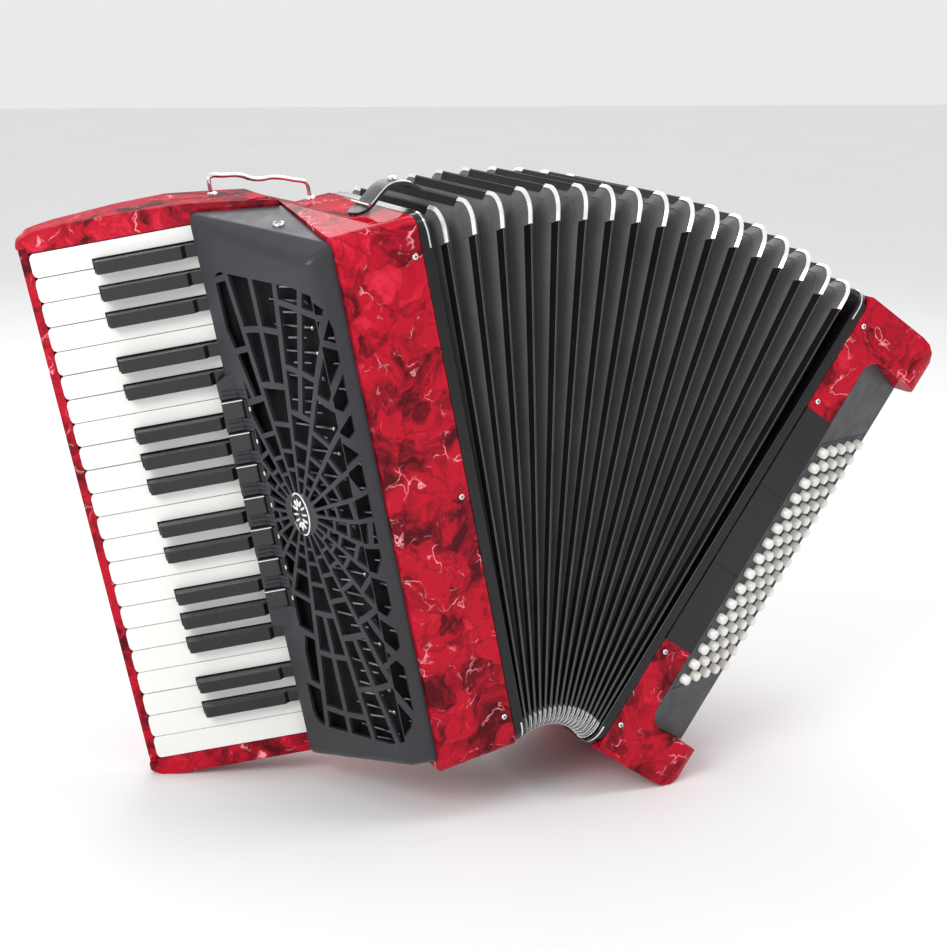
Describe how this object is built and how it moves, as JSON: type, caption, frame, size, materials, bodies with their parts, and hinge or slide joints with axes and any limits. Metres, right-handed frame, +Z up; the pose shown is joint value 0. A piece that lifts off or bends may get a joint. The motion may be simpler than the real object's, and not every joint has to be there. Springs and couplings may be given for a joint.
{
  "type": "piano accordion",
  "caption": "Piano accordion with a slanted keyboard, tapered pierced grille, fanned folded bellows, and a bass end with a slanted button board and hand strap.",
  "frame": {"origin": "centre of the bounding box in plan, at the height of the floor it stands on", "axes": "+X to the bass end, +Y to the rear (the player's side), +Z up; the front faces -Y"},
  "size_m": [0.7216, 0.2014, 0.4951],
  "materials": {
    "red_shell": "polished marbled celluloid",
    "grille_metal": "black satin",
    "frame_wood": "black lacquer",
    "bellows_card": "black cloth-covered",
    "ivory_plastic": "polished",
    "black_plastic": "satin",
    "board_plastic": "matte",
    "reed_wood": "bare",
    "steel": "ground",
    "chrome": "polished",
    "leather": "black"
  },
  "bodies": {
    "treble": {"treble_casing": "red_shell", "treble_grille": "grille_metal", "keyboard_bed": "red_shell", "key_axle": "steel", "treble_reed_block": "reed_wood", "treble_bellows_frame": "frame_wood", "bellows": "bellows_card", "strap_bracket": "chrome", "bellows_strap": "leather"},
    "bass": {"bass_bellows_frame": "frame_wood", "bass_casing": "red_shell", "bass_button_board": "board_plastic", "bass_reed_block": "reed_wood", "bass_strap": "leather"},
    "bass_buttons": {"bass_buttons": "ivory_plastic"},
    "air_button": {"air_button": "ivory_plastic"},
    "white_key_01": {"white_key_01": "ivory_plastic"},
    "white_key_02": {"white_key_02": "ivory_plastic"},
    "white_key_03": {"white_key_03": "ivory_plastic"},
    "white_key_04": {"white_key_04": "ivory_plastic"},
    "white_key_05": {"white_key_05": "ivory_plastic"},
    "white_key_06": {"white_key_06": "ivory_plastic"},
    "white_key_07": {"white_key_07": "ivory_plastic"},
    "white_key_08": {"white_key_08": "ivory_plastic"},
    "white_key_09": {"white_key_09": "ivory_plastic"},
    "white_key_10": {"white_key_10": "ivory_plastic"},
    "white_key_11": {"white_key_11": "ivory_plastic"},
    "white_key_12": {"white_key_12": "ivory_plastic"},
    "white_key_13": {"white_key_13": "ivory_plastic"},
    "white_key_14": {"white_key_14": "ivory_plastic"},
    "white_key_15": {"white_key_15": "ivory_plastic"},
    "white_key_16": {"white_key_16": "ivory_plastic"},
    "white_key_17": {"white_key_17": "ivory_plastic"},
    "white_key_18": {"white_key_18": "ivory_plastic"},
    "white_key_19": {"white_key_19": "ivory_plastic"},
    "white_key_20": {"white_key_20": "ivory_plastic"},
    "white_key_21": {"white_key_21": "ivory_plastic"},
    "white_key_22": {"white_key_22": "ivory_plastic"},
    "black_key_01": {"black_key_01": "black_plastic"},
    "black_key_02": {"black_key_02": "black_plastic"},
    "black_key_03": {"black_key_03": "black_plastic"},
    "black_key_04": {"black_key_04": "black_plastic"},
    "black_key_05": {"black_key_05": "black_plastic"},
    "black_key_06": {"black_key_06": "black_plastic"},
    "black_key_07": {"black_key_07": "black_plastic"},
    "black_key_08": {"black_key_08": "black_plastic"},
    "black_key_09": {"black_key_09": "black_plastic"},
    "black_key_10": {"black_key_10": "black_plastic"},
    "black_key_11": {"black_key_11": "black_plastic"},
    "black_key_12": {"black_key_12": "black_plastic"},
    "black_key_13": {"black_key_13": "black_plastic"},
    "black_key_14": {"black_key_14": "black_plastic"},
    "black_key_15": {"black_key_15": "black_plastic"},
    "register_tab_1": {"register_tab_1": "black_plastic"},
    "register_tab_2": {"register_tab_2": "black_plastic"},
    "register_tab_3": {"register_tab_3": "black_plastic"},
    "register_tab_4": {"register_tab_4": "black_plastic"},
    "register_tab_5": {"register_tab_5": "black_plastic"},
    "register_tab_6": {"register_tab_6": "black_plastic"},
    "register_tab_7": {"register_tab_7": "black_plastic"}
  },
  "joints": [
    {"name": "bellows_fan", "type": "hinge", "parent": "treble", "child": "bass", "pos_m": [0.02066, -0.00678, 0.06354], "axis": [0, 1, 0], "range_deg": [-46.5, 8], "deforming": ["bellows"]},
    {"name": "white_key_01_press", "type": "hinge", "parent": "treble", "child": "white_key_01", "pos_m": [-0.20498, 0.0201, 0.45579], "axis": [0.2176, 0, -0.976], "range_deg": [0, 1.4], "stiffness_Nm_per_rad": 3, "springref_deg": -1.72},
    {"name": "white_key_02_press", "type": "hinge", "parent": "treble", "child": "white_key_02", "pos_m": [-0.20073, 0.0201, 0.43676], "axis": [0.2176, 0, -0.976], "range_deg": [0, 1.4], "stiffness_Nm_per_rad": 3, "springref_deg": -1.72},
    {"name": "white_key_03_press", "type": "hinge", "parent": "treble", "child": "white_key_03", "pos_m": [-0.19649, 0.0201, 0.41772], "axis": [0.2176, 0, -0.976], "range_deg": [0, 1.4], "stiffness_Nm_per_rad": 3, "springref_deg": -1.72},
    {"name": "white_key_04_press", "type": "hinge", "parent": "treble", "child": "white_key_04", "pos_m": [-0.19225, 0.0201, 0.39869], "axis": [0.2176, 0, -0.976], "range_deg": [0, 1.4], "stiffness_Nm_per_rad": 3, "springref_deg": -1.72},
    {"name": "white_key_05_press", "type": "hinge", "parent": "treble", "child": "white_key_05", "pos_m": [-0.188, 0.0201, 0.37966], "axis": [0.2176, 0, -0.976], "range_deg": [0, 1.4], "stiffness_Nm_per_rad": 3, "springref_deg": -1.72},
    {"name": "white_key_06_press", "type": "hinge", "parent": "treble", "child": "white_key_06", "pos_m": [-0.18376, 0.0201, 0.36062], "axis": [0.2176, 0, -0.976], "range_deg": [0, 1.4], "stiffness_Nm_per_rad": 3, "springref_deg": -1.72},
    {"name": "white_key_07_press", "type": "hinge", "parent": "treble", "child": "white_key_07", "pos_m": [-0.17952, 0.0201, 0.34159], "axis": [0.2176, 0, -0.976], "range_deg": [0, 1.4], "stiffness_Nm_per_rad": 3, "springref_deg": -1.72},
    {"name": "white_key_08_press", "type": "hinge", "parent": "treble", "child": "white_key_08", "pos_m": [-0.17527, 0.0201, 0.32256], "axis": [0.2176, 0, -0.976], "range_deg": [0, 1.4], "stiffness_Nm_per_rad": 3, "springref_deg": -1.72},
    {"name": "white_key_09_press", "type": "hinge", "parent": "treble", "child": "white_key_09", "pos_m": [-0.17103, 0.0201, 0.30353], "axis": [0.2176, 0, -0.976], "range_deg": [0, 1.4], "stiffness_Nm_per_rad": 3, "springref_deg": -1.72},
    {"name": "white_key_10_press", "type": "hinge", "parent": "treble", "child": "white_key_10", "pos_m": [-0.16679, 0.0201, 0.28449], "axis": [0.2176, 0, -0.976], "range_deg": [0, 1.4], "stiffness_Nm_per_rad": 3, "springref_deg": -1.72},
    {"name": "white_key_11_press", "type": "hinge", "parent": "treble", "child": "white_key_11", "pos_m": [-0.16254, 0.0201, 0.26546], "axis": [0.2176, 0, -0.976], "range_deg": [0, 1.4], "stiffness_Nm_per_rad": 3, "springref_deg": -1.72},
    {"name": "white_key_12_press", "type": "hinge", "parent": "treble", "child": "white_key_12", "pos_m": [-0.1583, 0.0201, 0.24643], "axis": [0.2176, 0, -0.976], "range_deg": [0, 1.4], "stiffness_Nm_per_rad": 3, "springref_deg": -1.72},
    {"name": "white_key_13_press", "type": "hinge", "parent": "treble", "child": "white_key_13", "pos_m": [-0.15406, 0.0201, 0.2274], "axis": [0.2176, 0, -0.976], "range_deg": [0, 1.4], "stiffness_Nm_per_rad": 3, "springref_deg": -1.72},
    {"name": "white_key_14_press", "type": "hinge", "parent": "treble", "child": "white_key_14", "pos_m": [-0.14981, 0.0201, 0.20836], "axis": [0.2176, 0, -0.976], "range_deg": [0, 1.4], "stiffness_Nm_per_rad": 3, "springref_deg": -1.72},
    {"name": "white_key_15_press", "type": "hinge", "parent": "treble", "child": "white_key_15", "pos_m": [-0.14557, 0.0201, 0.18933], "axis": [0.2176, 0, -0.976], "range_deg": [0, 1.4], "stiffness_Nm_per_rad": 3, "springref_deg": -1.72},
    {"name": "white_key_16_press", "type": "hinge", "parent": "treble", "child": "white_key_16", "pos_m": [-0.14133, 0.0201, 0.1703], "axis": [0.2176, 0, -0.976], "range_deg": [0, 1.4], "stiffness_Nm_per_rad": 3, "springref_deg": -1.72},
    {"name": "white_key_17_press", "type": "hinge", "parent": "treble", "child": "white_key_17", "pos_m": [-0.13709, 0.0201, 0.15126], "axis": [0.2176, 0, -0.976], "range_deg": [0, 1.4], "stiffness_Nm_per_rad": 3, "springref_deg": -1.72},
    {"name": "white_key_18_press", "type": "hinge", "parent": "treble", "child": "white_key_18", "pos_m": [-0.13284, 0.0201, 0.13223], "axis": [0.2176, 0, -0.976], "range_deg": [0, 1.4], "stiffness_Nm_per_rad": 3, "springref_deg": -1.72},
    {"name": "white_key_19_press", "type": "hinge", "parent": "treble", "child": "white_key_19", "pos_m": [-0.1286, 0.0201, 0.1132], "axis": [0.2176, 0, -0.976], "range_deg": [0, 1.4], "stiffness_Nm_per_rad": 3, "springref_deg": -1.72},
    {"name": "white_key_20_press", "type": "hinge", "parent": "treble", "child": "white_key_20", "pos_m": [-0.12435, 0.0201, 0.09417], "axis": [0.2176, 0, -0.976], "range_deg": [0, 1.4], "stiffness_Nm_per_rad": 3, "springref_deg": -1.72},
    {"name": "white_key_21_press", "type": "hinge", "parent": "treble", "child": "white_key_21", "pos_m": [-0.12011, 0.0201, 0.07513], "axis": [0.2176, 0, -0.976], "range_deg": [0, 1.4], "stiffness_Nm_per_rad": 3, "springref_deg": -1.72},
    {"name": "white_key_22_press", "type": "hinge", "parent": "treble", "child": "white_key_22", "pos_m": [-0.11587, 0.0201, 0.0561], "axis": [0.2176, 0, -0.976], "range_deg": [0, 1.4], "stiffness_Nm_per_rad": 3, "springref_deg": -1.72},
    {"name": "black_key_01_press", "type": "hinge", "parent": "treble", "child": "black_key_01", "pos_m": [-0.2032, 0.0201, 0.44783], "axis": [0.2176, 0, -0.976], "range_deg": [0, 1.4], "stiffness_Nm_per_rad": 3, "springref_deg": -1.72},
    {"name": "black_key_02_press", "type": "hinge", "parent": "treble", "child": "black_key_02", "pos_m": [-0.19861, 0.0201, 0.42724], "axis": [0.2176, 0, -0.976], "range_deg": [0, 1.4], "stiffness_Nm_per_rad": 3, "springref_deg": -1.72},
    {"name": "black_key_03_press", "type": "hinge", "parent": "treble", "child": "black_key_03", "pos_m": [-0.19402, 0.0201, 0.40664], "axis": [0.2176, 0, -0.976], "range_deg": [0, 1.4], "stiffness_Nm_per_rad": 3, "springref_deg": -1.72},
    {"name": "black_key_04_press", "type": "hinge", "parent": "treble", "child": "black_key_04", "pos_m": [-0.18614, 0.0201, 0.37131], "axis": [0.2176, 0, -0.976], "range_deg": [0, 1.4], "stiffness_Nm_per_rad": 3, "springref_deg": -1.72},
    {"name": "black_key_05_press", "type": "hinge", "parent": "treble", "child": "black_key_05", "pos_m": [-0.18138, 0.0201, 0.34994], "axis": [0.2176, 0, -0.976], "range_deg": [0, 1.4], "stiffness_Nm_per_rad": 3, "springref_deg": -1.72},
    {"name": "black_key_06_press", "type": "hinge", "parent": "treble", "child": "black_key_06", "pos_m": [-0.1735, 0.0201, 0.3146], "axis": [0.2176, 0, -0.976], "range_deg": [0, 1.4], "stiffness_Nm_per_rad": 3, "springref_deg": -1.72},
    {"name": "black_key_07_press", "type": "hinge", "parent": "treble", "child": "black_key_07", "pos_m": [-0.16891, 0.0201, 0.29401], "axis": [0.2176, 0, -0.976], "range_deg": [0, 1.4], "stiffness_Nm_per_rad": 3, "springref_deg": -1.72},
    {"name": "black_key_08_press", "type": "hinge", "parent": "treble", "child": "black_key_08", "pos_m": [-0.16432, 0.0201, 0.27342], "axis": [0.2176, 0, -0.976], "range_deg": [0, 1.4], "stiffness_Nm_per_rad": 3, "springref_deg": -1.72},
    {"name": "black_key_09_press", "type": "hinge", "parent": "treble", "child": "black_key_09", "pos_m": [-0.15644, 0.0201, 0.23808], "axis": [0.2176, 0, -0.976], "range_deg": [0, 1.4], "stiffness_Nm_per_rad": 3, "springref_deg": -1.72},
    {"name": "black_key_10_press", "type": "hinge", "parent": "treble", "child": "black_key_10", "pos_m": [-0.15168, 0.0201, 0.21671], "axis": [0.2176, 0, -0.976], "range_deg": [0, 1.4], "stiffness_Nm_per_rad": 3, "springref_deg": -1.72},
    {"name": "black_key_11_press", "type": "hinge", "parent": "treble", "child": "black_key_11", "pos_m": [-0.1438, 0.0201, 0.18138], "axis": [0.2176, 0, -0.976], "range_deg": [0, 1.4], "stiffness_Nm_per_rad": 3, "springref_deg": -1.72},
    {"name": "black_key_12_press", "type": "hinge", "parent": "treble", "child": "black_key_12", "pos_m": [-0.13921, 0.0201, 0.16078], "axis": [0.2176, 0, -0.976], "range_deg": [0, 1.4], "stiffness_Nm_per_rad": 3, "springref_deg": -1.72},
    {"name": "black_key_13_press", "type": "hinge", "parent": "treble", "child": "black_key_13", "pos_m": [-0.13462, 0.0201, 0.14019], "axis": [0.2176, 0, -0.976], "range_deg": [0, 1.4], "stiffness_Nm_per_rad": 3, "springref_deg": -1.72},
    {"name": "black_key_14_press", "type": "hinge", "parent": "treble", "child": "black_key_14", "pos_m": [-0.12674, 0.0201, 0.10485], "axis": [0.2176, 0, -0.976], "range_deg": [0, 1.4], "stiffness_Nm_per_rad": 3, "springref_deg": -1.72},
    {"name": "black_key_15_press", "type": "hinge", "parent": "treble", "child": "black_key_15", "pos_m": [-0.12197, 0.0201, 0.08348], "axis": [0.2176, 0, -0.976], "range_deg": [0, 1.4], "stiffness_Nm_per_rad": 3, "springref_deg": -1.72},
    {"name": "register_tab_1_rock", "type": "hinge", "parent": "treble", "child": "register_tab_1", "pos_m": [-0.2127, 0.01239, 0.31898], "axis": [0.2176, 0, -0.976], "range_deg": [0, 5], "stiffness_Nm_per_rad": 0.3, "springref_deg": -2.86},
    {"name": "register_tab_2_rock", "type": "hinge", "parent": "treble", "child": "register_tab_2", "pos_m": [-0.20697, 0.01239, 0.29331], "axis": [0.2176, 0, -0.976], "range_deg": [0, 5], "stiffness_Nm_per_rad": 0.3, "springref_deg": -2.86},
    {"name": "register_tab_3_rock", "type": "hinge", "parent": "treble", "child": "register_tab_3", "pos_m": [-0.20125, 0.01239, 0.26764], "axis": [0.2176, 0, -0.976], "range_deg": [0, 5], "stiffness_Nm_per_rad": 0.3, "springref_deg": -2.86},
    {"name": "register_tab_4_rock", "type": "hinge", "parent": "treble", "child": "register_tab_4", "pos_m": [-0.19553, 0.01239, 0.24197], "axis": [0.2176, 0, -0.976], "range_deg": [0, 5], "stiffness_Nm_per_rad": 0.3, "springref_deg": -2.86},
    {"name": "register_tab_5_rock", "type": "hinge", "parent": "treble", "child": "register_tab_5", "pos_m": [-0.18981, 0.01239, 0.2163], "axis": [0.2176, 0, -0.976], "range_deg": [0, 5], "stiffness_Nm_per_rad": 0.3, "springref_deg": -2.86},
    {"name": "register_tab_6_rock", "type": "hinge", "parent": "treble", "child": "register_tab_6", "pos_m": [-0.18408, 0.01239, 0.19063], "axis": [0.2176, 0, -0.976], "range_deg": [0, 5], "stiffness_Nm_per_rad": 0.3, "springref_deg": -2.86},
    {"name": "register_tab_7_rock", "type": "hinge", "parent": "treble", "child": "register_tab_7", "pos_m": [-0.17836, 0.01239, 0.16496], "axis": [0.2176, 0, -0.976], "range_deg": [0, 5], "stiffness_Nm_per_rad": 0.3, "springref_deg": -2.86},
    {"name": "bass_button_press", "type": "slide", "parent": "bass", "child": "bass_buttons", "axis": [-0.4149, 0.866, 0.2791], "range_m": [0, 0.003], "stiffness_N_per_m": 600, "springref_m": -0.003},
    {"name": "air_button_press", "type": "slide", "parent": "bass", "child": "air_button", "axis": [-0.8297, 0, 0.5582], "range_m": [0, 0.004], "stiffness_N_per_m": 300, "springref_m": -0.003}
  ]
}
